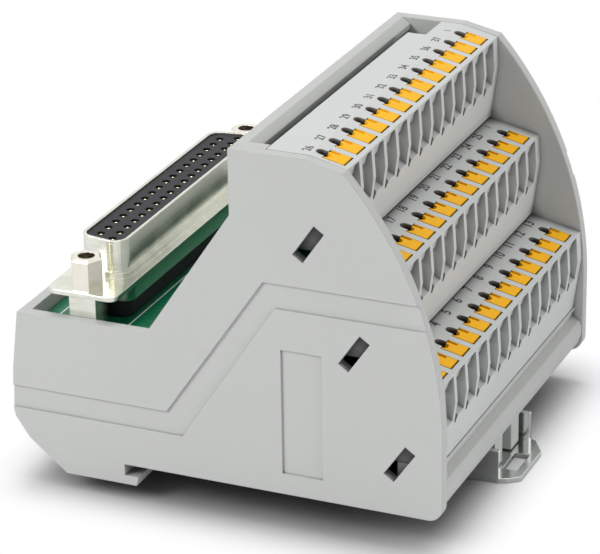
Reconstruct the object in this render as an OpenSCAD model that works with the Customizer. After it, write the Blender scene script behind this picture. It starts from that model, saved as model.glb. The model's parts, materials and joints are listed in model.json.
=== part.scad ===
// Interface module for a 35 mm top hat rail: a 37 way D-shaped socket on a printed board,
// wired to three stepped tiers of thirteen spring terminals with orange release buttons.
// X runs across the rail, Y along the rail, Z up. Z is 0 at the top of the rail flanges.

/* [Body] */
// Width of the module along the rail
body_width = 72; // [71:0.5:76]
// Thickness of each side plate
plate_t = 2.0; // [1.6:0.1:2.2]
// Thickness of the housing walls between the plates
wall_t = 1.8; // [1.4:0.1:2.2]
// Depth of the shallow bands and the blank field in each side plate
relief = 0.35; // [0.2:0.05:0.6]

/* [Terminals] */
// Width of a wire entry
entry_w = 4.0; // [3.6:0.1:4.2]
// Depth of a wire entry where it is deepest
entry_d = 3.0; // [2.4:0.1:3.2]
// Slope of the tier tops in degrees
tilt = 13; // [12.5:0.25:13.5]
// Width of a release button
button_w = 3.3; // [2.8:0.1:3.4]
// Height that a button stands proud of its tier
button_proud = 0.05; // [0:0.05:0.5]
// Gap between a button and its pocket on each side
button_gap = 0.15; // [0.1:0.05:0.25]

/* [D-shaped socket] */
// Width of the metal flange
flange_w = 12.5; // [12:0.1:13]
// Distance between the two contact rows
row_gap = 2.84; // [2.7:0.02:2.9]
// Height of the shell above the flange
shell_h = 6.5; // [6:0.1:7]

/* [Rail foot] */
// Width of the metal latch along the rail
latch_w = 16.5; // [14:0.5:18]
// Thickness of the latch sheet
sheet_t = 0.9; // [0.7:0.1:1]
// Thickness of the rail flange that the hook takes, with its play
rail_gap = 2.0; // [1.8:0.1:2.2]

/* [Hidden] */
inner_y = body_width / 2 - plate_t;
poles = 13;
end_room = 1.96;
row_shift = 0.8;
end_clear = 0.1;
pitch = (body_width - 2 * plate_t - end_room) / poles;
first_y = -(poles - 1) * pitch / 2 - row_shift;
front_gap = 0.3;
fin_right = 37.76;
fin_r = 64.34;
fin_x = fin_right - fin_r;
fin_z = 13.9;
corner_r = 2.45;
tier_x = [fin_right - 16.56, fin_right - 8.66, fin_right - 0.76];
tier_z = [56.9, 39.9, 22.9];
tier_dx = 10.3;
tier_dz = 14.45;
tower_x = 1.9;
tower_z = 58.4;
lip_x = tier_x[0] - 13.6;
board_top = 22.4;
board_t = 1.6;
board_clear = 0.25;
rim_z = board_top + 2.1;
socket_x = -25.8;
flange_z = board_top + 5.8;
flange_t = 0.8;
shell_sheet = 0.5;
contact_n = 19;
nut_span = body_width - 8.5;
flange_l = nut_span + 5.8;
shell_l = nut_span - 9.6;
contact_pitch = (shell_l - 1.27) / contact_n;
pin_w = 0.7;
lean = atan((tier_x[1] - tier_x[0]) / (tier_z[0] - tier_z[1]));
row_dir = [-cos(lean), -sin(lean)];
e = 0.02;

// Draws an XZ outline as a prism from y0 to y1.
module prism(y0, y1) {
    translate([0, y1, 0])
        rotate([90, 0, 0])
            linear_extrude(y1 - y0)
                children();
}

// Draws an XY outline as a prism from z0 to z1.
module slab(z0, z1) {
    translate([0, 0, z0])
        linear_extrude(z1 - z0)
            children();
}

// Flat rectangle with round corners.
module round_rect(w, h, r) {
    union() {
        square([w - 2 * r, h], center = true);
        square([w, h - 2 * r], center = true);
        for (sx = [-1, 1], sy = [-1, 1])
            translate([sx * (w / 2 - r), sy * (h / 2 - r)])
                circle(r, $fn = 24);
    }
}

// Puts a tier's own frame at its front edge, with x down the slope and z square to it.
module at_tier(tier, pole) {
    translate([tier_x[tier], first_y + pole * pitch, tier_z[tier]])
        rotate([0, tilt, 0])
            children();
}

// Outline of a side plate: tray, tower, rail hook and the bowed fin in front of the tiers.
module plate_outline() {
    right = fin_right;
    difference() {
        intersection() {
            polygon([
                [-29, -3.6], [-35.7, 1.9], [-38.1, 5.4], [-38.5, 7.2], [-38.15, 14.2], [-36.9, rim_z],
                [-13.4, rim_z], [tower_x, 47.3], [tower_x, tower_z], [tier_x[0] - 6.5, tower_z],
                [tier_x[0] + 0.2, tier_z[0]], [right, 40], [right, 0], [-18.2, 0],
                [-18.2, -rail_gap], [-15.7, -rail_gap], [-16.1, -3.6]
            ]);
            union() {
                translate([fin_x, fin_z])
                    circle(fin_r, $fn = 180);
                translate([-60, -10])
                    square([60 + right, 10 + fin_z]);
            }
        }
        translate([right - corner_r, corner_r])
            difference() {
                translate([0, -corner_r - 1])
                    square([corner_r + 1, corner_r + 1]);
                circle(corner_r, $fn = 32);
            }
    }
}

// One tilted slot through a side plate.
module plate_slot(x, z) {
    translate([x, z])
        rotate(55.3)
            square([6.45, 2.1], center = true);
}

// A side plate lying with its outer face at y = 0 and its inner face at plate_t.
module side_plate() {
    difference() {
        prism(0, plate_t)
            difference() {
                plate_outline();
                plate_slot(fin_right - 22.46, 44.29);
                plate_slot(fin_right - 14.9, 26.85);
                plate_slot(fin_right - 7.26, 8.98);
            }
        prism(-1, relief)
            polygon([
                [-45, 11.05], [-10.2, 11.05], [7.43, 36.7], [45, 36.7], [45, 32.5],
                [9.44, 32.5], [-7.43, 7.1], [-45, 7.1]
            ]);
        prism(-1, relief)
            translate([10.3, 3.7])
                square([7, 21.8]);
    }
}

module side_plate_near() {
    color([0.78, 0.79, 0.78])
        translate([0, -body_width / 2, 0])
            side_plate();
}

module side_plate_far() {
    color([0.78, 0.79, 0.78])
        translate([0, body_width / 2, 0])
            mirror([0, 1, 0])
                side_plate();
}

// Tray, rail hook, floor and front ledge, as one moulding between the plates.
module housing_base() {
    f = fin_right;
    seat_z = tier_z[2] - tier_dz - 0.04;
    color([0.78, 0.79, 0.78])
        union() {
            prism(-inner_y, inner_y)
                union() {
                    polygon([
                        [-29, -3.45], [-35.7, 1.9], [-38.1, 5.4], [-38.5, 7.2], [-38.15, 14.2],
                        [-36.9, rim_z], [-36.9 + wall_t, rim_z], [-36.2 + wall_t, board_top - 1.8],
                        [-33.2, board_top - 1.8], [-33.2, board_top - 4], [-36.4 + wall_t, 14.2],
                        [-36.7 + wall_t, 7.3], [-34.5 + wall_t, 2.9], [-30.2, wall_t],
                        [f - 5.76, wall_t], [f - 2.66 - wall_t, 3.2], [f - 2.66 - wall_t, 6.2],
                        [f - 6.26, 6.2], [f - 6.26, seat_z], [f - 1.5, seat_z], [f - 1.5, seat_z - 0.5],
                        [f - 2.0, 7.2], [f - 2.0, 6.7], [f - 0.56, 5.9], [f - 0.16, 4.9],
                        [f - 0.16, 3.4], [f - 0.66, 1.8], [f - 2.16, 0.2], [f - 2.76, 0],
                        [-18.2, 0], [-18.2, -rail_gap], [-15.7, -rail_gap], [-16.1, -3.6], [-29, -3.6]
                    ]);
                    translate([-14.2, wall_t - e])
                        square([wall_t, board_top - board_t - wall_t]);
                    translate([f - 8.36, wall_t - e])
                        square([wall_t, seat_z - wall_t + e]);
                }
            for (s = [-1, 1])
                translate([25.4, s * 4.1 - 1.9, -5.1])
                    cube([10.4, 3.8, 5.2]);
            translate([25.4, -3, -5.1])
                cube([1.6, 6, 5.2]);
        }
}

// Rear wall of the tower; its rim slopes down to the open gap behind the top tier.
module tower_cover() {
    inside = tower_x + wall_t;
    color([0.8, 0.81, 0.8])
        union() {
            prism(-inner_y, inner_y)
                polygon([
                    [-12.9, rim_z + 0.74], [tower_x, 47.3], [tower_x, tower_z], [inside, tower_z],
                    [inside + 1.4, tower_z - 1.1], [inside + 1.4, tower_z - 2.0], [inside, tower_z - 2.8],
                    [inside, 46.7], [-11.4, rim_z - 0.26]
                ]);
            prism(-inner_y, -inner_y + 2.1)
                polygon([
                    [inside - 0.5, tower_z - 1.5], [inside - 0.5, tower_z],
                    [lip_x - end_clear, tower_z], [lip_x - end_clear, tower_z - 1.5]
                ]);
        }
}

// Cut for one wire entry, in the space of its tier's front edge: a groove that gets
// deeper downwards, a ramp that brings it out again, and the small hole at its foot.
module wire_entry() {
    w = entry_w / 2;
    union() {
        intersection() {
            prism(-w, w)
                polygon([
                    [1.5, -0.3], [0.02, -0.3], [-0.55, -0.75], [-1, -2.4], [-0.75 * entry_d, -4.2],
                    [-entry_d, -5.9], [-entry_d, -6.3], [0.1, -8.3], [1.5, -8.3]
                ]);
            union() {
                translate([w - entry_d, 0, -9])
                    cylinder(r = w, h = 10, $fn = 32);
                translate([w - entry_d, -w, -9])
                    cube([entry_d - w + 1.5, 2 * w, 10]);
            }
        }
        translate([-5.6, 0, 0])
            rotate([90, 0, 90])
                linear_extrude(7)
                    polygon([[-w, -7.4], [-w + 1.8, -7.6], [-w + 0.55, -9.1], [-w, -8.9]]);
    }
}

// Block of one tier with its entries, button pockets, test slots and clamp chambers.
module terminal_block(tier) {
    x = tier_x[tier];
    z = tier_z[tier];
    half = inner_y - end_clear;
    flat = tier == 0 ? 6.5 : tier_dx;
    top_z = z + flat * tan(tilt);
    lip = [[x - tier_dx, top_z - 2.2], [lip_x, top_z - 1.6], [lip_x, top_z], [x - flat, top_z]];
    left = tier == 0 ? lip : [[x - flat, top_z]];
    color([0.83, 0.84, 0.83])
        difference() {
            prism(-half, half)
                polygon(concat(
                    [[x, z], [x + 0.35, z - 4.9], [x - 0.9, z - 13.9], [x - 0.9, z - tier_dz],
                     [x - tier_dx, z - tier_dz]],
                    left
                ));
            if (tier == 0)
                translate([lip_x - 1, half - 7.5, top_z - 4])
                    cube([x - tier_dx - lip_x + 1, 10, 6]);
            for (k = [0:poles - 1]) {
                translate([x, first_y + k * pitch, z])
                    wire_entry();
                at_tier(tier, k) {
                    translate([-4.6 - button_gap, -button_w / 2 - button_gap, -3.9])
                        cube([3.5 + button_gap + front_gap, button_w + 2 * button_gap, 6]);
                    translate([-5.5, -0.95, -5])
                        cube([1.5, 1.9, 8]);
                    translate([-5.5, 0, -5])
                        cylinder(r = 0.95, h = 8, $fn = 20);
                    translate([-7.6, -1.7, -11])
                        cube([4.4, 3.4, 7.2]);
                }
                translate([x - 12, first_y + k * pitch - 0.6, z - 9.9])
                    cube([3, 1.2, 1.9]);
            }
        }
}

module terminal_block_top() {
    terminal_block(0);
}

module terminal_block_middle() {
    terminal_block(1);
}

module terminal_block_bottom() {
    terminal_block(2);
}

// Release button: a cap with a driver slit and a short stem over the clamp spring.
module button(tier, pole) {
    color([1, 0.72, 0.1])
        at_tier(tier, pole)
            difference() {
                union() {
                    translate([-4.6, -button_w / 2, -2.6])
                        cube([3.5, button_w, 2.6 + button_proud]);
                    translate([-4.6, -1.1, -5.1])
                        cube([1.1, 2.2, 3]);
                }
                translate([-5, button_w / 2 - 0.8, button_proud - 1.2])
                    cube([2.1, 0.6, 2]);
                translate([-4.75, -0.5, button_proud - 1.6])
                    cylinder(r = 0.9, h = 3, $fn = 20);
            }
}

// Bent strip springs that press the wires, one in each clamp chamber.
module clamp_springs() {
    color([0.75, 0.76, 0.78])
        for (tier = [0:2], k = [0:poles - 1])
            at_tier(tier, k)
                prism(-1.3, 1.3)
                    polygon([
                        [-7.35, -10.0], [-7.35, -6.65], [-3.6, -6.65], [-4.9, -9.2],
                        [-4.65, -9.35], [-3.3, -6.4], [-7.55, -6.4], [-7.55, -10.0]
                    ]);
}

// Contact bars: a plate under each spring and a pin that runs out to the terminal board.
module contact_bars() {
    color([0.8, 0.72, 0.45])
        for (tier = [0:2], k = [0:poles - 1])
            union() {
                at_tier(tier, k)
                    translate([-7.55, -1.3, -10.75])
                        cube([4, 2.6, 0.6]);
                translate([tier_x[tier] - 9.2, first_y + k * pitch, tier_z[tier] - 8.75])
                    rotate([0, -90 - lean, 0])
                        translate([-pin_w / 2, -pin_w / 2, 0])
                            cube([pin_w, pin_w, 6.9]);
            }
}

// Sloping board behind the tiers; the bars are soldered into its holes.
module terminal_board() {
    x0 = tier_x[0] - tier_dx + 1.2 * row_dir[0];
    z0 = tier_z[0] - tier_dz + 1.2 * row_dir[1];
    color([0.05, 0.42, 0.26])
        difference() {
            translate([x0, 0, z0])
                rotate([0, -lean, 0])
                    translate([-board_t, -inner_y + board_clear, -41])
                        cube([board_t, 2 * (inner_y - board_clear), 49.5]);
            for (tier = [0:2], k = [0:poles - 1])
                translate([tier_x[tier] - 9.2, first_y + k * pitch, tier_z[tier] - 8.75])
                    rotate([0, -90 - lean, 0])
                        translate([-pin_w / 2 - 0.15, -pin_w / 2 - 0.15, 2])
                            cube([pin_w + 0.3, pin_w + 0.3, 8]);
        }
}

// Level board under the socket.
module main_board() {
    color([0.05, 0.42, 0.26])
        difference() {
            slab(board_top - board_t, board_top)
                translate([-34.4, -inner_y + board_clear])
                    square([48.6, 2 * (inner_y - board_clear)]);
            for (s = [-1, 1])
                translate([socket_x, s * nut_span / 2, 0])
                    cylinder(r = 1.6, h = 40, $fn = 24);
            for (k = [0:contact_n - 1])
                translate([socket_x + row_gap / 2, (k - 9) * contact_pitch, board_top - 2.4])
                    cylinder(r = 0.5, h = 4, $fn = 8);
            for (k = [0:contact_n - 2])
                translate([socket_x - row_gap / 2, (k - 8.5) * contact_pitch, board_top - 2.4])
                    cylinder(r = 0.5, h = 4, $fn = 8);
        }
}

// D outline: wide side towards the tower, with slanting ends and round corners.
module d_outline(l, w, r) {
    a = (w / 2 - r) * tan(10);
    hull()
        for (s = [-1, 1]) {
            translate([w / 2 - r, s * (l / 2 - r)])
                circle(r, $fn = 24);
            translate([-w / 2 + r, s * (l / 2 - r - 2 * a)])
                circle(r, $fn = 24);
        }
}

// Plated front shell of the socket: drawn D collar on a flat flange.
module socket_front_shell() {
    color([0.72, 0.72, 0.68])
        translate([socket_x, 0, 0])
            difference() {
                union() {
                    slab(flange_z, flange_z + flange_t)
                        round_rect(flange_w, flange_l, 1.6);
                    slab(flange_z, flange_z + flange_t + 1.1)
                        d_outline(shell_l + 1, 9.6, 2.8);
                    slab(flange_z, flange_z + flange_t + shell_h)
                        d_outline(shell_l, 8.4, 2.4);
                }
                slab(flange_z - 1, flange_z + 20)
                    d_outline(shell_l - 2 * shell_sheet, 8.4 - 2 * shell_sheet, 2.4 - shell_sheet);
                for (s = [-1, 1])
                    translate([0, s * nut_span / 2, flange_z - 1])
                        cylinder(r = 1.6, h = 6, $fn = 24);
            }
}

// Plated rear shell folded round the edge of the front flange.
module socket_rear_shell() {
    color([0.68, 0.69, 0.62])
        translate([socket_x, 0, 0])
            difference() {
                slab(flange_z - 2.6, flange_z)
                    round_rect(flange_w - 0.8, shell_l + 2.5, 2.2);
                slab(flange_z - 3, flange_z + 2)
                    round_rect(flange_w - 2.0, shell_l + 1.3, 1.8);
            }
}

// Moulded body that holds the contacts in two rows.
module socket_insulator() {
    color([0.16, 0.16, 0.18])
        translate([socket_x, 0, 0])
            difference() {
                slab(flange_z, flange_z + flange_t + shell_h - 0.35)
                    d_outline(shell_l - 2 * shell_sheet - 0.1, 8.4 - 2 * shell_sheet - 0.1, 2.4 - shell_sheet);
                for (k = [0:contact_n - 1])
                    translate([row_gap / 2, (k - 9) * contact_pitch, flange_z - 1])
                        cylinder(r = 0.72, h = 10, $fn = 12);
                for (k = [0:contact_n - 2])
                    translate([-row_gap / 2, (k - 8.5) * contact_pitch, flange_z - 1])
                        cylinder(r = 0.72, h = 10, $fn = 12);
            }
}

// Rear body between the shells and the board.
module socket_rear_body() {
    color([0.12, 0.12, 0.13])
        translate([socket_x, 0, 0])
            difference() {
                slab(board_top + 0.05, flange_z - 0.02)
                    round_rect(flange_w - 2.1, shell_l + 1.2, 1.8);
                for (k = [0:contact_n - 1])
                    translate([row_gap / 2 - 0.5, (k - 9) * contact_pitch - 0.5, board_top - 2])
                        cube([1, 1, 10]);
                for (k = [0:contact_n - 2])
                    translate([-row_gap / 2 - 0.5, (k - 8.5) * contact_pitch - 0.5, board_top - 2])
                        cube([1, 1, 10]);
            }
}

// Contacts: a round sleeve in the socket and a square tail soldered in the board.
module contact() {
    union() {
        translate([0, 0, flange_z + 0.2])
            cylinder(r = 0.62, h = shell_h - 0.4, $fn = 10);
        translate([-0.3, -0.3, board_top - 2.8])
            cube([0.6, 0.6, flange_z + 0.4 - board_top + 2.8]);
    }
}

module socket_contacts() {
    color([0.85, 0.75, 0.4])
        translate([socket_x, 0, 0])
            union() {
                for (k = [0:contact_n - 1])
                    translate([row_gap / 2, (k - 9) * contact_pitch, 0])
                        contact();
                for (k = [0:contact_n - 2])
                    translate([-row_gap / 2, (k - 8.5) * contact_pitch, 0])
                        contact();
            }
}

// Hexagon lock nuts with a tapped hole, screwed down through the flange.
module lock_nuts() {
    color([0.8, 0.77, 0.7])
        for (s = [-1, 1])
            translate([socket_x, s * nut_span / 2, 0])
                difference() {
                    union() {
                        translate([0, 0, flange_z + flange_t])
                            cylinder(r = 2.85, h = 5.2, $fn = 6);
                        translate([0, 0, flange_z + flange_t + 5.19])
                            cylinder(r1 = 2.85, r2 = 2.4, h = 0.4, $fn = 6);
                        translate([0, 0, board_top - 1])
                            cylinder(r = 1.42, h = 8, $fn = 24);
                    }
                    translate([0, 0, flange_z + flange_t + 0.6])
                        cylinder(r = 1.42, h = 6, $fn = 24);
                }
}

// Square metal feet that carry the flange ends above the board.
module flange_brackets() {
    color([0.7, 0.7, 0.68])
        for (s = [-1, 1])
            translate([socket_x, s * nut_span / 2, 0])
                difference() {
                    translate([-2.4, -2.2, board_top])
                        cube([4.8, 4.4, flange_z - board_top - 0.01]);
                    translate([0, 0, board_top - 2])
                        cylinder(r = 1.9, h = 10, $fn = 24);
                }
}

// Pin strip that joins the level board to the sloping board.
module link_header() {
    color([0.15, 0.15, 0.16])
        slab(board_top, board_top + 2.5)
            translate([7.6, 1.5 - inner_y])
                square([2.5, 2 * inner_y - 3]);
}

// Folded metal latch that grips the rail flange from below and ends in a tab with a slot.
module rail_latch() {
    color([0.75, 0.76, 0.75])
        union() {
            for (s = [-1, 1])
                translate([0, s * (latch_w / 2 - sheet_t / 2), 0])
                    prism(-sheet_t / 2, sheet_t / 2)
                        polygon([
                            [37.3, -0.35], [37.3, -6.3], [19, -6.3], [16.3, -3.6], [16.3, -1.25],
                            [17.8, -1.25], [17.8, -0.35]
                        ]);
            difference() {
                slab(-6.3, -6.3 + sheet_t)
                    polygon([
                        [19, -latch_w / 2 + 0.1], [37.3, -latch_w / 2 + 0.1], [38.6, -latch_w / 2 + 0.6],
                        [40.6, -latch_w / 2 + 2.2], [40.6, latch_w / 2 - 4.2], [38.4, latch_w / 2 - 0.6],
                        [37.3, latch_w / 2 - 0.1], [19, latch_w / 2 - 0.1]
                    ]);
                translate([36.6, -4.4, -8])
                    cube([2.6, 6.4, 4]);
            }
            translate([19, -latch_w / 2 + 0.1, -6.3])
                cube([sheet_t, latch_w - 0.2, 3.6]);
        }
}

// Zigzag strip spring between the latch web and the guide on the base.
module latch_spring() {
    color([0.7, 0.72, 0.75])
        prism(-2.2, 2.2)
            polygon([
                [20.0, -5.1], [20.25, -5.1], [21.5, -3.2], [22.75, -5.1], [24.0, -3.2], [25.1, -5.1],
                [25.35, -5.1], [25.35, -4.9], [24.0, -2.75], [22.75, -4.65], [21.5, -2.75], [20.0, -4.9]
            ]);
}

tiers = ["top", "middle", "bottom"];
two_digits = function(n) str(n < 10 ? "0" : "", n);
button_name = function(tier, k) str("button_", tiers[tier], "_", two_digits(k + 1));

side_plate_near();
side_plate_far();
housing_base();
tower_cover();
terminal_block_top();
terminal_block_middle();
terminal_block_bottom();
clamp_springs();
contact_bars();
terminal_board();
main_board();
link_header();
socket_front_shell();
socket_rear_shell();
socket_insulator();
socket_rear_body();
socket_contacts();
lock_nuts();
flange_brackets();
rail_latch();
latch_spring();
for (tier = [0:2], k = [0:poles - 1])
    button(tier, k);
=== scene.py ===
# %% [markdown]
# # An interface module, dressed for its portrait
# The object is an electrician's part: a light grey plastic housing with a 37 way D-shaped
# socket on the left, three steps of spring terminals on the right and a sprung metal latch
# at its foot. The solid model already holds every piece at its real size in metres. This
# script gives each piece its finish, adds the printed numbers and other thin things, and
# sets the light, the floor and the camera.

# %% Load the solid model
import bpy
import json
import math
from mathutils import Matrix, Vector


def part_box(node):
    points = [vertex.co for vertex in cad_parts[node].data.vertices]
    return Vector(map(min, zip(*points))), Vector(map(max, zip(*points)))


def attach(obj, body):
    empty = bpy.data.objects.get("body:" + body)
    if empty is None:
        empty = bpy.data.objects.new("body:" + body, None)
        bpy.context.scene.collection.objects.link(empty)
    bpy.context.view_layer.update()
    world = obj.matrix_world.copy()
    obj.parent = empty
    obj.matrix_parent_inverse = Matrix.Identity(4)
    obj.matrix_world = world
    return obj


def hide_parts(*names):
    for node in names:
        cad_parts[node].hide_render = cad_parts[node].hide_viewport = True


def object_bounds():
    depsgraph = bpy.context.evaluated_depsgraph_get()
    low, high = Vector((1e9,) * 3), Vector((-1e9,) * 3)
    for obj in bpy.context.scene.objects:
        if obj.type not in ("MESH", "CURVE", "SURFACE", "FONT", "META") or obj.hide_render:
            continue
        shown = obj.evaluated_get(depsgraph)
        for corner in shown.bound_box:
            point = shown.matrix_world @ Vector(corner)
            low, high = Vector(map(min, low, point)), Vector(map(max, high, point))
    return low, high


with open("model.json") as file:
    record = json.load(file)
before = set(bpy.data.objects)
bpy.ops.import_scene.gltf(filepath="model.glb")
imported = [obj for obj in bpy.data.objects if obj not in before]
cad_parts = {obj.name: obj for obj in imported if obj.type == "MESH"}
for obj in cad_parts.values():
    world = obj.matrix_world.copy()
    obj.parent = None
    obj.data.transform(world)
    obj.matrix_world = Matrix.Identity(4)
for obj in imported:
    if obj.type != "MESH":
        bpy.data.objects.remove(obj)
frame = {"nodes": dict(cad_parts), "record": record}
cad_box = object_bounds()
nodes = frame["nodes"]
MM = 0.001

# %% [markdown]
# A shader in Blender is a net of nodes. Wiring it in code gets long, so small helpers come
# first. One adds a node and fills in its values. One starts a node group: a reusable effect
# with named inputs and outputs, like a function for colours. One lays noise over a piece in
# the piece's own coordinates, so the pattern stays put when the piece moves.

# %% Helpers for shader nodes
FLOAT, COLOUR = "NodeSocketFloat", "NodeSocketColor"
MID_GREY = (0.6, 0.6, 0.6, 1)


def add_node(tree, kind, settings=None, **values):
    """Adds a node. settings are its properties, values its input sockets by name."""
    node = tree.nodes.new(kind)
    for key, value in (settings or {}).items():
        setattr(node, key, value)
    for key, value in values.items():
        node.inputs[key.replace("_", " ")].default_value = value
    return node


def new_group(name, inputs, outputs):
    """Starts a node group. inputs is (name, kind, default), outputs is (name, kind)."""
    tree = bpy.data.node_groups.new(name, "ShaderNodeTree")
    for socket_name, kind, default in inputs:
        socket = tree.interface.new_socket(socket_name, in_out="INPUT", socket_type=kind)
        socket.default_value = default
    for socket_name, kind in outputs:
        tree.interface.new_socket(socket_name, in_out="OUTPUT", socket_type=kind)
    return tree, tree.nodes.new("NodeGroupInput"), tree.nodes.new("NodeGroupOutput")


def scaled_noise(tree, start, scale_socket, detail, stretch=(1, 1, 1)):
    """Noise in the piece's own coordinates, with its scale from a group input."""
    coordinates = add_node(tree, "ShaderNodeTexCoord")
    mapping = add_node(tree, "ShaderNodeMapping", Scale=stretch)
    noise = add_node(tree, "ShaderNodeTexNoise", Detail=detail)
    tree.links.new(coordinates.outputs["Object"], mapping.inputs["Vector"])
    tree.links.new(mapping.outputs["Vector"], noise.inputs["Vector"])
    tree.links.new(start.outputs[scale_socket], noise.inputs["Scale"])
    return noise.outputs["Fac"]


print("node helpers ready")

# %% [markdown]
# On plastic and on metal alike, a mask of soft patches shifts the colour and the roughness
# a little. The mask is first centred, so that it swings about zero and leaves the mean
# colour alone. Both groups below need these two steps, so they are written once.

# %% Helpers: patches of tone and roughness
FINISH_OUTPUTS = [("Colour", COLOUR), ("Roughness", FLOAT), ("Height", FLOAT)]


def centred(tree, mask, middle):
    """The mask less its middle value."""
    less = add_node(tree, "ShaderNodeMath", {"operation": "SUBTRACT"})
    less.inputs[1].default_value = middle
    tree.links.new(mask, less.inputs[0])
    return less.outputs[0]


def tone_and_roughness(tree, start, end, swing):
    """Colour times (1 + swing x Tone), and Rough plus swing x Rough spread."""
    shift = add_node(tree, "ShaderNodeMath", {"operation": "MULTIPLY_ADD"})
    shift.inputs[2].default_value = 1.0
    tree.links.new(swing, shift.inputs[0])
    tree.links.new(start.outputs["Tone"], shift.inputs[1])
    tinted = add_node(tree, "ShaderNodeVectorMath", {"operation": "SCALE"})
    tree.links.new(start.outputs["Colour"], tinted.inputs[0])
    tree.links.new(shift.outputs[0], tinted.inputs["Scale"])
    tree.links.new(tinted.outputs[0], end.inputs["Colour"])
    rough = add_node(tree, "ShaderNodeMath", {"operation": "MULTIPLY_ADD"})
    tree.links.new(swing, rough.inputs[0])
    tree.links.new(start.outputs["Rough spread"], rough.inputs[1])
    tree.links.new(start.outputs["Rough"], rough.inputs[2])
    tree.links.new(rough.outputs[0], end.inputs["Roughness"])


print("a finish group puts out:", ", ".join(name for name, kind in FINISH_OUTPUTS))

# %% [markdown]
# Moulded plastic is never one flat colour. The mould leaves a very fine spark-eroded
# grain, and the wall thickness and handling leave soft, broad differences of tone. Both
# are noise, at two sizes, and housing, terminals, buttons and print all share them, so
# they make a group.

# %% Group: moulded plastic
def mould_finish():
    tree, start, end = new_group(
        "moulded_plastic",
        [("Colour", COLOUR, MID_GREY), ("Tone", FLOAT, 0.05), ("Patch scale", FLOAT, 60.0),
         ("Grain scale", FLOAT, 4000.0), ("Rough", FLOAT, 0.5), ("Rough spread", FLOAT, 0.08)],
        FINISH_OUTPUTS)
    patches = scaled_noise(tree, start, "Patch scale", detail=3.0)
    grain = scaled_noise(tree, start, "Grain scale", detail=2.0)
    tone_and_roughness(tree, start, end, centred(tree, patches, middle=0.5))
    tree.links.new(grain, end.inputs["Height"])
    return tree


MOULDED = mould_finish()
print("group:", MOULDED.name)

# %% [markdown]
# Sheet metal comes off a roll, so its plating is streaked along one direction and a
# little cloudy. The group stretches one noise into streaks and multiplies it by a second,
# even one. Tin, nickel, zinc, spring steel and the contact alloy then differ only in
# their values.

# %% Group: plated metal
STREAK_STRETCH = (1.0, 0.06, 6.0)


def plate_finish():
    tree, start, end = new_group(
        "plated_metal",
        [("Colour", COLOUR, MID_GREY), ("Tone", FLOAT, 0.1), ("Streak scale", FLOAT, 300.0),
         ("Cloud scale", FLOAT, 150.0), ("Rough", FLOAT, 0.25), ("Rough spread", FLOAT, 0.2)],
        FINISH_OUTPUTS)
    streaks = scaled_noise(tree, start, "Streak scale", detail=4.0, stretch=STREAK_STRETCH)
    clouds = scaled_noise(tree, start, "Cloud scale", detail=3.0)
    both = add_node(tree, "ShaderNodeMath", {"operation": "MULTIPLY"})
    tree.links.new(streaks, both.inputs[0])
    tree.links.new(clouds, both.inputs[1])
    tone_and_roughness(tree, start, end, centred(tree, both.outputs[0], middle=0.25))
    tree.links.new(streaks, end.inputs["Height"])
    return tree


PLATED = plate_finish()
print("group:", PLATED.name)

# %% [markdown]
# Narrow slots and grooves look darker than the faces round them, because little light reaches
# them. Blender's Ambient Occlusion node measures how open a spot is, from 0 to 1. This group
# turns that measure into a share of the colour, which is painted shade. Housing, terminals,
# socket and floor use it, each with its own limits. The measuring node itself stays in the
# material, next to the shader.

# %% Group: painted shade in crevices
def painted_crevice_shade():
    tree, start, end = new_group(
        "painted_crevice_shade",
        [("Colour", COLOUR, MID_GREY), ("Openness", FLOAT, 1.0), ("Closed", FLOAT, 0.3),
         ("Open", FLOAT, 0.8), ("Darkest", FLOAT, 0.2)],
        [("Colour", COLOUR)])
    kept = add_node(tree, "ShaderNodeMapRange")
    shaded = add_node(tree, "ShaderNodeVectorMath", {"operation": "SCALE"})
    tree.links.new(start.outputs["Openness"], kept.inputs["Value"])
    tree.links.new(start.outputs["Closed"], kept.inputs["From Min"])
    tree.links.new(start.outputs["Open"], kept.inputs["From Max"])
    tree.links.new(start.outputs["Darkest"], kept.inputs["To Min"])
    tree.links.new(start.outputs["Colour"], shaded.inputs[0])
    tree.links.new(kept.outputs["Result"], shaded.inputs["Scale"])
    tree.links.new(shaded.outputs[0], end.inputs["Colour"])
    return tree


PAINTED_SHADE = painted_crevice_shade()
print("group:", PAINTED_SHADE.name)

# %% [markdown]
# Every plastic and metal here is built the same way. The finish group gives colour, roughness
# and height. The height goes through a Bump node, and a Bevel node under it rounds the look of
# the sharp edges, because moulded and stamped edges always have a small radius that catches the
# light. Where a finish has painted shade, its colour passes the crevice group first, which
# paints shade into its slots and grooves.

# %% Helper: a material from a finish group
PAINTED_SHADE_SAMPLES = 8
EDGE_SAMPLES = 6


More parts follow.
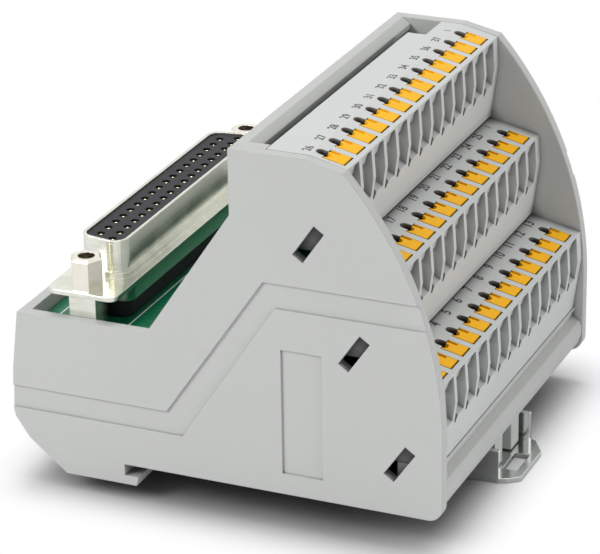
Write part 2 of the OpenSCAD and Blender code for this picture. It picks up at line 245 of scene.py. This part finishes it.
def finish(name, group, values, edge, bump, grain_depth=0.02, painted_shade=None, **shader):
    """A Principled material fed by a finish group. edge, grain_depth and reach are in mm.
    The shade tuple is (reach, open, darkest): painted shade darkens slots narrower than reach
    down to darkest times the colour, and spots more open than the share open keep it."""
    material = bpy.data.materials.new(name)
    material.use_nodes = True
    tree = material.node_tree
    principled = tree.nodes["Principled BSDF"]
    for key, value in shader.items():
        principled.inputs[key.replace("_", " ")].default_value = value
    surface = add_node(tree, "ShaderNodeGroup", {"node_tree": group})
    for key, value in values.items():
        surface.inputs[key].default_value = value
    colour = surface.outputs["Colour"]
    # Painted shade: the Ambient Occlusion measure darkens the base colour in slots and
    # crevices.
    if painted_shade:
        reach, opened, darkest = painted_shade
        openness = add_node(tree, "ShaderNodeAmbientOcclusion", {"samples": PAINTED_SHADE_SAMPLES},
                            Distance=reach * MM)
        crevices = add_node(tree, "ShaderNodeGroup", {"node_tree": PAINTED_SHADE},
                            Open=opened, Darkest=darkest)
        tree.links.new(openness.outputs["AO"], crevices.inputs["Openness"])
        tree.links.new(colour, crevices.inputs["Colour"])
        colour = crevices.outputs["Colour"]
    tree.links.new(colour, principled.inputs["Base Color"])
    tree.links.new(surface.outputs["Roughness"], principled.inputs["Roughness"])
    round_edge = add_node(tree, "ShaderNodeBevel", {"samples": EDGE_SAMPLES}, Radius=edge * MM)
    relief = add_node(tree, "ShaderNodeBump", Strength=bump, Distance=grain_depth * MM)
    tree.links.new(round_edge.outputs["Normal"], relief.inputs["Normal"])
    tree.links.new(surface.outputs["Height"], relief.inputs["Height"])
    tree.links.new(relief.outputs["Normal"], principled.inputs["Normal"])
    return material


print("finish helper ready")

# %% [markdown]
# The housing is a light grey polyamide, matt on its big faces. The terminals are the same
# family of plastic, a touch lighter and smoother, and painted shade takes their deep wire
# entries almost to black. The buttons are a warm orange, and the socket's body is black.

# %% Plastic finishes
# The housing gets painted shade in its slots and grooves.
housing_grey = finish(
    "housing_grey", MOULDED,
    {"Colour": (0.525, 0.536, 0.522, 1), "Tone": 0.05, "Patch scale": 45.0,
     "Grain scale": 5200.0, "Rough": 0.52, "Rough spread": 0.1},
    edge=0.22, bump=0.25, painted_shade=(3.0, 0.6, 0.3), IOR=1.45)
# The terminals get painted shade, down to almost black in the deep wire entries.
terminal_grey = finish(
    "terminal_grey", MOULDED,
    {"Colour": (0.60, 0.617, 0.605, 1), "Tone": 0.05, "Patch scale": 110.0,
     "Grain scale": 6000.0, "Rough": 0.46, "Rough spread": 0.1},
    edge=0.14, bump=0.2, painted_shade=(3.2, 0.85, 0.04), IOR=1.45)
button_orange = finish(
    "button_orange", MOULDED,
    {"Colour": (1.0, 0.50, 0.006, 1), "Tone": 0.1, "Patch scale": 260.0,
     "Grain scale": 5200.0, "Rough": 0.45, "Rough spread": 0.12},
    edge=0.14, bump=0.2, IOR=1.3)
# The socket gets painted shade in its bores and gaps.
socket_black = finish(
    "socket_black", MOULDED,
    {"Colour": (0.017, 0.016, 0.021, 1), "Tone": 0.3, "Patch scale": 220.0,
     "Grain scale": 4200.0, "Rough": 0.5, "Rough spread": 0.15},
    edge=0.1, bump=0.3, painted_shade=(1.6, 0.8, 0.2), IOR=1.32)
print("plastics:", housing_grey.name, terminal_grey.name, button_orange.name, socket_black.name)

# %% [markdown]
# There are five metals: tin on the socket shell, bright nickel on the lock nuts, clear
# zinc on the latch, an alloy like pale gold on the contacts, and bare steel on the springs
# inside. Metal has almost no colour of its own apart from what it reflects, so roughness
# does most of the work.

# %% Metal finishes
tinned_steel = finish(
    "tinned_steel", PLATED,
    {"Colour": (0.74, 0.75, 0.67, 1), "Tone": 0.6, "Streak scale": 420.0,
     "Cloud scale": 260.0, "Rough": 0.2, "Rough spread": 0.3},
    edge=0.2, bump=0.3, grain_depth=0.03, Metallic=1.0)
nickel = finish(
    "nickel", PLATED,
    {"Colour": (0.86, 0.81, 0.72, 1), "Tone": 0.25, "Streak scale": 300.0,
     "Cloud scale": 400.0, "Rough": 0.17, "Rough spread": 0.2},
    edge=0.18, bump=0.1, Metallic=1.0)
zinc_steel = finish(
    "zinc_steel", PLATED,
    {"Colour": (0.84, 0.86, 0.84, 1), "Tone": 0.5, "Streak scale": 260.0,
     "Cloud scale": 180.0, "Rough": 0.2, "Rough spread": 0.3},
    edge=0.2, bump=0.2, Metallic=1.0)
spring_steel = finish(
    "spring_steel", PLATED,
    {"Colour": (0.5, 0.5, 0.51, 1), "Tone": 0.3, "Streak scale": 500.0,
     "Cloud scale": 300.0, "Rough": 0.3, "Rough spread": 0.2},
    edge=0.05, bump=0.1, Metallic=1.0)
contact_alloy = finish(
    "contact_alloy", PLATED,
    {"Colour": (0.84, 0.74, 0.5, 1), "Tone": 0.2, "Streak scale": 300.0,
     "Cloud scale": 500.0, "Rough": 0.24, "Rough spread": 0.2},
    edge=0.05, bump=0.05, Metallic=1.0)
print("metals:", tinned_steel.name, nickel.name, zinc_steel.name, spring_steel.name,
      contact_alloy.name)

# %% [markdown]
# A printed board is glass laminate under a clear green lacquer. The copper tracks lie
# under the lacquer and show as slightly lighter green bands with a tiny step. A Brick
# Texture of long thin bricks is an easy stand-in for such bands, with the gaps between
# the tracks as its mortar, and a noise over it makes the green a little uneven.

# %% Board finish
TRACK_LENGTH, TRACK_PITCH, TRACK_GAP = 21 * MM, 1.38 * MM, 0.22 * MM
TRACK_SHIFT = 0.37
TRACK_GREENS = (0.0, 0.20, 0.085, 1), (0.0, 0.235, 0.105, 1)
GAP_GREEN = (0.0, 0.15, 0.06, 1)
UNEVEN = 0.45


def board_finish():
    material = bpy.data.materials.new("board_green")
    material.use_nodes = True
    tree = material.node_tree
    principled = tree.nodes["Principled BSDF"]
    principled.inputs["Roughness"].default_value = 0.28
    coordinates = add_node(tree, "ShaderNodeTexCoord")
    tracks = add_node(tree, "ShaderNodeTexBrick", {"offset": TRACK_SHIFT},
                      Color1=TRACK_GREENS[0], Color2=TRACK_GREENS[1], Mortar=GAP_GREEN,
                      Scale=1.0, Mortar_Size=TRACK_GAP, Mortar_Smooth=0.3,
                      Brick_Width=TRACK_LENGTH, Row_Height=TRACK_PITCH)
    cloud = add_node(tree, "ShaderNodeTexNoise", Scale=420.0, Detail=3.0)
    mixed = add_node(tree, "ShaderNodeMix", {"data_type": "RGBA", "blend_type": "MULTIPLY"},
                     Factor=UNEVEN)
    relief = add_node(tree, "ShaderNodeBump", Strength=0.4, Distance=0.02 * MM)
    tree.links.new(coordinates.outputs["Object"], tracks.inputs["Vector"])
    tree.links.new(coordinates.outputs["Object"], cloud.inputs["Vector"])
    tree.links.new(tracks.outputs["Color"], mixed.inputs["A"])
    tree.links.new(cloud.outputs["Color"], mixed.inputs["B"])
    tree.links.new(mixed.outputs["Result"], principled.inputs["Base Color"])
    tree.links.new(tracks.outputs["Fac"], relief.inputs["Height"])
    tree.links.new(relief.outputs["Normal"], principled.inputs["Normal"])
    return material


board_green = board_finish()
print("board:", board_green.name)

# %% [markdown]
# Each solid carries the name of its material slot from the record, so dressing them is a
# look-up table from slot name to finish.

# %% Dress the solids
FINISHES = {
    "housing_grey": housing_grey, "terminal_grey": terminal_grey,
    "button_orange": button_orange, "socket_black": socket_black,
    "tinned_steel": tinned_steel, "nickel": nickel, "zinc_steel": zinc_steel,
    "spring_steel": spring_steel, "contact_alloy": contact_alloy, "board_green": board_green}
slot_of = {part["node"]: part["material_slot"] for part in frame["record"]["subparts"]}
for name, solid in nodes.items():
    for material_slot in solid.material_slots:
        material_slot.material = FINISHES[slot_of[name]]
print("dressed:", len(slot_of), "solids")

# %% [markdown]
# Print is a very thin layer of ink. A picture on the surface could show it, but real
# geometry stays sharp at any size: flat meshes that lie a hair above the face. There are
# two inks, black for the numbers on the terminals and white for the outline on the board.
# Both are matt, with a little unevenness from the plastic group.

# %% Ink finishes
INK_LIFT = 0.02 * MM
ink_black = finish(
    "print_black", MOULDED,
    {"Colour": (0.03, 0.03, 0.035, 1), "Tone": 0.5, "Patch scale": 900.0,
     "Grain scale": 3000.0, "Rough": 0.5, "Rough spread": 0.1},
    edge=0.02, bump=0.1)
silk_white = finish(
    "print_white", MOULDED,
    {"Colour": (0.78, 0.84, 0.79, 1), "Tone": 0.2, "Patch scale": 900.0,
     "Grain scale": 3000.0, "Rough": 0.5, "Rough spread": 0.1},
    edge=0.02, bump=0.1)
print("inks:", ink_black.name, silk_white.name)

# %% [markdown]
# Several small outlines are gathered into one mesh, as one layer of print or one set of
# contacts. The helper makes that mesh an object, gives it its finish and hangs it on the empty
# of the body it rides on.

# %% Helper: one piece from points and faces
def mesh_piece(name, points, faces, material, smooth=False):
    """Makes a mesh object that rides on the module."""
    mesh = bpy.data.meshes.new(name)
    mesh.from_pydata(points, [], faces)
    mesh.validate()
    mesh.polygons.foreach_set("use_smooth", [smooth] * len(mesh.polygons))
    piece = bpy.data.objects.new(name, mesh)
    bpy.context.collection.objects.link(piece)
    mesh.materials.append(material)
    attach(piece, "module")
    return piece


def append_shape(all_points, all_faces, points, faces):
    """Adds one shape to a growing mesh."""
    base = len(all_points)
    all_points += points
    all_faces += [tuple(base + i for i in face) for face in faces]


print("mesh helpers ready")

# %% [markdown]
# Every tier is a block whose front face bulges a little past its top edge, and whose top
# rises from that edge at a known angle. So the place of the edge follows from the block's
# box. The top tier slopes only at its front and is level behind, where its numbers lie.
# Along the tier, each number stands in line with its button.

# %% Places on the tiers
TIERS = ["top", "middle", "bottom"]
POLES = 13
TILT = math.radians(13)
FRONT_BULGE = 0.35 * MM


def number_place(tier, pole, x):
    """Where a number lies: x from the tier's front edge and negative towards the tower."""
    button_low, button_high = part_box(f"button_{tier}_{pole + 1:02d}")
    block_low, block_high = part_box(f"terminal_block_{tier}")
    y = (button_low[1] + button_high[1]) / 2
    edge_x = block_high[0] - FRONT_BULGE
    if tier == "top":
        return Matrix.Translation((edge_x + x, y, block_high[2] + INK_LIFT))
    edge_z = block_high[2] - (edge_x - block_low[0]) * math.tan(TILT)
    slope = Matrix.Translation((edge_x, y, edge_z)) @ Matrix.Rotation(TILT, 4, "Y")
    return slope @ Matrix.Translation((x, 0, INK_LIFT))


print("front edge of the lowest tier:", number_place("bottom", 0, 0).translation)

# %% [markdown]
# The numbers are Blender's own plain font, turned into flat meshes. The font's digits
# stand a fixed share of the font size high, and a small offset of their outline makes them
# as bold as the print on the real part.

# %% Helper: a flat number
DIGIT_SHARE = 0.69
BOLDER = 0.022
CURVE_STEPS = 4


def text_mesh(text, height):
    """Points and faces of a short text, centred, lying flat with its face up."""
    curve = bpy.data.curves.new("number", "FONT")
    curve.body = text
    curve.size = height / DIGIT_SHARE
    curve.resolution_u = CURVE_STEPS
    curve.align_x, curve.align_y = "CENTER", "CENTER"
    curve.offset = BOLDER * height
    holder = bpy.data.objects.new("number", curve)
    bpy.context.collection.objects.link(holder)
    depsgraph = bpy.context.evaluated_depsgraph_get()
    flat = bpy.data.meshes.new_from_object(holder.evaluated_get(depsgraph))
    points = [vertex.co.copy() for vertex in flat.vertices]
    faces = [tuple(polygon.vertices) for polygon in flat.polygons]
    bpy.data.objects.remove(holder)
    bpy.data.curves.remove(curve)
    bpy.data.meshes.remove(flat)
    return points, faces


print("a number is a flat mesh, for example", len(text_mesh("8", 1.7 * MM)[1]), "faces")

# %% [markdown]
# The terminals are numbered from 1 at the near end of the lowest tier to 37 at the top.
# The digits stand with their heads towards the tower and read along the tier. The last
# terminal of the two upper tiers has no number, only a short bar across.

# %% Terminal numbers
NUMBER_HEIGHT = {"top": 1.42 * MM, "middle": 1.52 * MM, "bottom": 1.7 * MM}
NUMBER_X = {"top": -7.65 * MM, "middle": -8.1 * MM, "bottom": -8.25 * MM}
FIRST_NUMBER = {"top": 26, "middle": 14, "bottom": 1}
NUMBERED = {"top": 12, "middle": 12, "bottom": 13}
BAR_X, BAR_Y = 0.1 * MM, 0.6 * MM
BAR = [Vector((-BAR_X, -BAR_Y, 0)), Vector((BAR_X, -BAR_Y, 0)),
       Vector((BAR_X, BAR_Y, 0)), Vector((-BAR_X, BAR_Y, 0))]
READ_ALONG = Matrix.Rotation(math.radians(90), 4, "Z")
number_points, number_faces = [], []
for tier in TIERS:
    for pole in range(POLES):
        if pole < NUMBERED[tier]:
            points, faces = text_mesh(str(FIRST_NUMBER[tier] + pole), NUMBER_HEIGHT[tier])
        else:
            points, faces = BAR, [(0, 1, 2, 3)]
        place = number_place(tier, pole, NUMBER_X[tier]) @ READ_ALONG
        append_shape(number_points, number_faces, [place @ point for point in points], faces)
mesh_piece("terminal_numbers", number_points, number_faces, ink_black)
print("numbers:", len(number_faces), "faces")

# %% [markdown]
# On the board, a white printed outline shows where the socket goes. Four thin strips laid
# just above the lacquer do for it, one along each side.

# %% Board print
BOARD_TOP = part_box("main_board")[1][2]
insulator_low, insulator_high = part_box("socket_insulator")
SOCKET_X = (insulator_low[0] + insulator_high[0]) / 2
OUTLINE_X, OUTLINE_Y = 6.28 * MM, 33.6 * MM
LINE = 0.25 * MM


def strip(x, y, half_x, half_y):
    """A flat rectangle of print on the board, about its middle."""
    z = BOARD_TOP + INK_LIFT
    corners = [(x - half_x, y - half_y, z), (x + half_x, y - half_y, z),
               (x + half_x, y + half_y, z), (x - half_x, y + half_y, z)]
    append_shape(outline_points, outline_faces, corners, [(0, 1, 2, 3)])


outline_points, outline_faces = [], []
for side in (-1, 1):
    strip(SOCKET_X + side * OUTLINE_X, 0, LINE / 2, OUTLINE_Y)
    strip(SOCKET_X, side * OUTLINE_Y, OUTLINE_X, LINE / 2)
mesh_piece("board_print", outline_points, outline_faces, silk_white)
print("board print:", len(outline_faces), "strips")

# %% [markdown]
# Female contacts are little sleeves: from above each shows a bright rim round a dark bore.
# The solid has plain rods there, so turned sleeves take their place. A sleeve is a profile
# spun round an axis, the classic lathe.

# %% Helper: lathe
LATHE_STEPS = 16


def lathe(profile, x, y):
    """Spins (radius, height) points round a vertical axis. Returns points and faces."""
    points, faces = [], []
    for i in range(LATHE_STEPS):
        angle = 2 * math.pi * i / LATHE_STEPS
        for radius, height in profile:
            points.append((x + radius * math.cos(angle), y + radius * math.sin(angle), height))
    rows = len(profile)
    for i in range(LATHE_STEPS):
        j = (i + 1) % LATHE_STEPS
        for k in range(rows - 1):
            faces.append((i * rows + k, j * rows + k, j * rows + k + 1, i * rows + k + 1))
    return points, faces


print("lathe steps:", LATHE_STEPS)

# %% [markdown]
# The profile runs up the bore, over the rim with its small chamfer, down the outside and
# along the thin tail to the board. Pitch and row spacing are the standard ones of a 37 way
# socket, with 19 contacts in the row towards the tower and 18 in the other.

# %% Socket contacts
CONTACT_PITCH, ROW_GAP = 2.77 * MM, 2.84 * MM
ROWS = (1, 19), (-1, 18)
BORE_R, MOUTH_R, SLEEVE_R, TAIL_R = 0.40 * MM, 0.48 * MM, 0.62 * MM, 0.30 * MM
BORE_DEPTH, MOUTH_DEPTH, SLEEVE_LENGTH = 3.2 * MM, 0.2 * MM, 5.9 * MM
CHAMFER_R, CHAMFER_Z = 0.06 * MM, 0.08 * MM
SUNK = 0.4 * MM
sleeve_top = insulator_high[2] - SUNK
sleeve_foot = sleeve_top - SLEEVE_LENGTH
tail_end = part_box("socket_contacts")[0][2]
sleeve = [(0.0, sleeve_top - BORE_DEPTH), (BORE_R, sleeve_top - BORE_DEPTH),
          (BORE_R, sleeve_top - MOUTH_DEPTH), (MOUTH_R, sleeve_top),
          (SLEEVE_R - CHAMFER_R, sleeve_top), (SLEEVE_R, sleeve_top - CHAMFER_Z),
          (SLEEVE_R, sleeve_foot), (TAIL_R, sleeve_foot), (TAIL_R, tail_end), (0.0, tail_end)]
contact_points, contact_faces = [], []
for row, count in ROWS:
    for k in range(count):
        y = (k - (count - 1) / 2) * CONTACT_PITCH
        points, faces = lathe(sleeve, SOCKET_X + row * ROW_GAP / 2, y)
        append_shape(contact_points, contact_faces, points, faces)
contact_sleeves = mesh_piece("contact_sleeves", contact_points, contact_faces, contact_alloy,
                             smooth=True)
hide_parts("socket_contacts")
print("sleeves:", len(contact_faces), "faces")

# %% [markdown]
# The stage is a pale floor just under the lowest point, and a white surround. The floor keeps
# its shadow near the object and fades to plain white further out, by distance from the
# rectangle the object stands on and not by where the camera is. Close under the object the
# crevice group paints extra shadow into the floor's colour. From below the floor is clear, so
# the underside can be looked at too.

# %% Floor finish
FLOOR_COLOUR = (0.84, 0.84, 0.85, 1)
FOOT_X, FOOT_Y = 32 * MM, 34 * MM
SHADOW_REACH = 15 * MM
# Reach and samples of the painted shadow close under the object.
PAINTED_SHADOW_REACH, PAINTED_SHADOW_SAMPLES = 22 * MM, 12


def floor_fade(tree):
    """A mask: 0 over the rectangle under the object, and 1 from the shadow's reach on."""
    place = add_node(tree, "ShaderNodeTexCoord")
    side = add_node(tree, "ShaderNodeVectorMath", {"operation": "ABSOLUTE"})
    past = add_node(tree, "ShaderNodeVectorMath", {"operation": "SUBTRACT"})
    past.inputs[1].default_value = (FOOT_X, FOOT_Y, 1.0)
    outside = add_node(tree, "ShaderNodeVectorMath", {"operation": "MAXIMUM"})
    outside.inputs[1].default_value = (0, 0, 0)
    distance = add_node(tree, "ShaderNodeVectorMath", {"operation": "LENGTH"})
    fade = add_node(tree, "ShaderNodeMapRange", {"interpolation_type": "SMOOTHSTEP"},
                    From_Min=0.0, From_Max=SHADOW_REACH)
    tree.links.new(place.outputs["Object"], side.inputs[0])
    tree.links.new(side.outputs[0], past.inputs[0])
    tree.links.new(past.outputs[0], outside.inputs[0])
    tree.links.new(outside.outputs[0], distance.inputs[0])
    tree.links.new(distance.outputs["Value"], fade.inputs["Value"])
    return fade.outputs["Result"]


def floor_finish():
    material = bpy.data.materials.new("floor_white")
    material.use_nodes = True
    tree = material.node_tree
    matt = tree.nodes["Principled BSDF"]
    matt.inputs["Roughness"].default_value = 0.9
    # Painted shadow: the Ambient Occlusion measure darkens the floor colour close under the
    # object.
    openness = add_node(tree, "ShaderNodeAmbientOcclusion", {"samples": PAINTED_SHADOW_SAMPLES},
                        Distance=PAINTED_SHADOW_REACH)
    crevices = add_node(tree, "ShaderNodeGroup", {"node_tree": PAINTED_SHADE},
                        Colour=FLOOR_COLOUR, Closed=0.15, Open=0.8, Darkest=0.15)
    tree.links.new(openness.outputs["AO"], crevices.inputs["Openness"])
    tree.links.new(crevices.outputs["Colour"], matt.inputs["Base Color"])
    paths = add_node(tree, "ShaderNodeLightPath")
    seen = add_node(tree, "ShaderNodeMath", {"operation": "MULTIPLY"})
    tree.links.new(floor_fade(tree), seen.inputs[0])
    tree.links.new(paths.outputs["Is Camera Ray"], seen.inputs[1])
    white = add_node(tree, "ShaderNodeEmission", Strength=1.0)
    faded = add_node(tree, "ShaderNodeMixShader")
    tree.links.new(seen.outputs[0], faded.inputs["Fac"])
    tree.links.new(matt.outputs["BSDF"], faded.inputs[1])
    tree.links.new(white.outputs["Emission"], faded.inputs[2])
    clear = add_node(tree, "ShaderNodeBsdfTransparent")
    facing = add_node(tree, "ShaderNodeNewGeometry")
    sided = add_node(tree, "ShaderNodeMixShader")
    tree.links.new(facing.outputs["Backfacing"], sided.inputs["Fac"])
    tree.links.new(faded.outputs["Shader"], sided.inputs[1])
    tree.links.new(clear.outputs["BSDF"], sided.inputs[2])
    tree.links.new(sided.outputs["Shader"], tree.nodes["Material Output"].inputs["Surface"])
    return material


floor_white = floor_finish()
print("shadow reaches", round(SHADOW_REACH / MM), "mm past the foot")

# %% [markdown]
# The floor itself is one big square, a hair below the lowest point so that it never cuts
# the object. It belongs to the stage and not to the part.

# %% Floor
FLOOR_DROP = 0.1 * MM
FLOOR_HALF = 3.0
floor_z = cad_box[0][2] - FLOOR_DROP
floor_mesh = bpy.data.meshes.new("floor")
floor_mesh.from_pydata(
    [(-FLOOR_HALF, -FLOOR_HALF, floor_z), (FLOOR_HALF, -FLOOR_HALF, floor_z),
     (FLOOR_HALF, FLOOR_HALF, floor_z), (-FLOOR_HALF, FLOOR_HALF, floor_z)],
    [], [(0, 1, 2, 3)])
floor_mesh.materials.append(floor_white)
floor = bpy.data.objects.new("floor", floor_mesh)
bpy.context.collection.objects.link(floor)
print("floor at", round(floor_z / MM, 2), "mm")

# %% [markdown]
# What the camera, a mirror-like metal or a clear part sees of the surround is pure white,
# as in a catalogue. For lighting it is much dimmer, so that the lamps can model the
# shapes. The Light Path node tells the two uses apart.

# %% Surround
SURROUND_LIGHT = 0.29
world = bpy.data.worlds.new("surround")
bpy.context.scene.world = world
world.use_nodes = True
sky = world.node_tree
background = sky.nodes["Background"]
background.inputs["Color"].default_value = (1, 1, 1, 1)
paths = add_node(sky, "ShaderNodeLightPath")
camera_or_mirror = add_node(sky, "ShaderNodeMath", {"operation": "MAXIMUM"})
or_clear = add_node(sky, "ShaderNodeMath", {"operation": "MAXIMUM"})
level = add_node(sky, "ShaderNodeMapRange", To_Min=SURROUND_LIGHT, To_Max=1.0)
sky.links.new(paths.outputs["Is Camera Ray"], camera_or_mirror.inputs[0])
sky.links.new(paths.outputs["Is Glossy Ray"], camera_or_mirror.inputs[1])
sky.links.new(camera_or_mirror.outputs[0], or_clear.inputs[0])
sky.links.new(paths.outputs["Is Transmission Ray"], or_clear.inputs[1])
sky.links.new(or_clear.outputs[0], level.inputs["Value"])
sky.links.new(level.outputs["Result"], background.inputs["Strength"])
print("surround light:", SURROUND_LIGHT)

# %% [markdown]
# Three soft boxes light it as in a catalogue: a main one from the front left and above, a
# top one, and a fill from the right that models the steps of the terminals. A white card
# facing a lamp of about 10 W at one metre renders as white, so the powers are shares of
# that, times distance squared.

# %% Lamps
CENTRE = Vector((0.0, 0.0, 0.026))
FULL_WHITE = math.pi ** 2
LAMP_DISTANCE = 1.2


def soft_box(name, direction, size, share):
    """An area lamp that looks at the middle of the object."""
    lamp = bpy.data.lights.new(name, "AREA")
    lamp.shape = "DISK"
    lamp.size = size
    lamp.energy = share * FULL_WHITE * LAMP_DISTANCE ** 2
    holder = bpy.data.objects.new(name, lamp)
    bpy.context.collection.objects.link(holder)
    towards = Vector(direction).normalized()
    holder.location = CENTRE + towards * LAMP_DISTANCE
    holder.rotation_euler = towards.to_track_quat("Z", "Y").to_euler()
    return lamp.energy


main_watts = soft_box("main_box", (-0.62, -0.75, 0.66), size=0.5, share=0.61)
top_watts = soft_box("top_box", (-0.1, 0.15, 1.0), size=0.5, share=0.36)
right_watts = soft_box("right_box", (1.0, -0.15, 0.35), size=0.6, share=0.31)
print("lamps:", [round(watts, 1) for watts in (main_watts, top_watts, right_watts)], "W")

# %% [markdown]
# The camera stands where the photographer's did: to the right of the near side plate and
# above it, far away with a long lens, which keeps the perspective mild. Its angles are
# azimuth and elevation about the object plus a slight roll, and a rotation matrix made of
# its own right, up and back directions avoids any doubt about the order of the angles.

# %% Camera
AZIMUTH, ELEVATION, ROLL = math.radians(23.524), math.radians(23.243), math.radians(-0.862)
CAMERA_PLACE = (0.18660, -0.43278, 0.22452)
PHOTO_WIDTH, FOCAL_LENGTH = 600, 3018.9  # in pixels of the photo
SENSOR = 36.0
back = Vector((math.sin(AZIMUTH) * math.cos(ELEVATION),
               -math.cos(AZIMUTH) * math.cos(ELEVATION), math.sin(ELEVATION)))
level_right = (-back).cross(Vector((0, 0, 1))).normalized()
level_up = level_right.cross(-back)
right = math.cos(ROLL) * level_right + math.sin(ROLL) * level_up
up = -math.sin(ROLL) * level_right + math.cos(ROLL) * level_up
camera_data = bpy.data.cameras.new("camera")
camera_data.sensor_width = SENSOR
camera_data.lens = FOCAL_LENGTH / PHOTO_WIDTH * SENSOR
camera_data.clip_end = 20.0
camera = bpy.data.objects.new("camera", camera_data)
bpy.context.collection.objects.link(camera)
axes = Matrix((right, up, back)).transposed().to_4x4()
camera.matrix_world = Matrix.Translation(CAMERA_PLACE) @ axes
bpy.context.scene.camera = camera
bpy.context.scene.view_settings.view_transform = "Standard"
print("lens:", round(camera_data.lens, 1), "mm")

# %% [markdown]
# Last, the view layer is brought up to date.

# %% Update the view layer
bpy.context.view_layer.update()
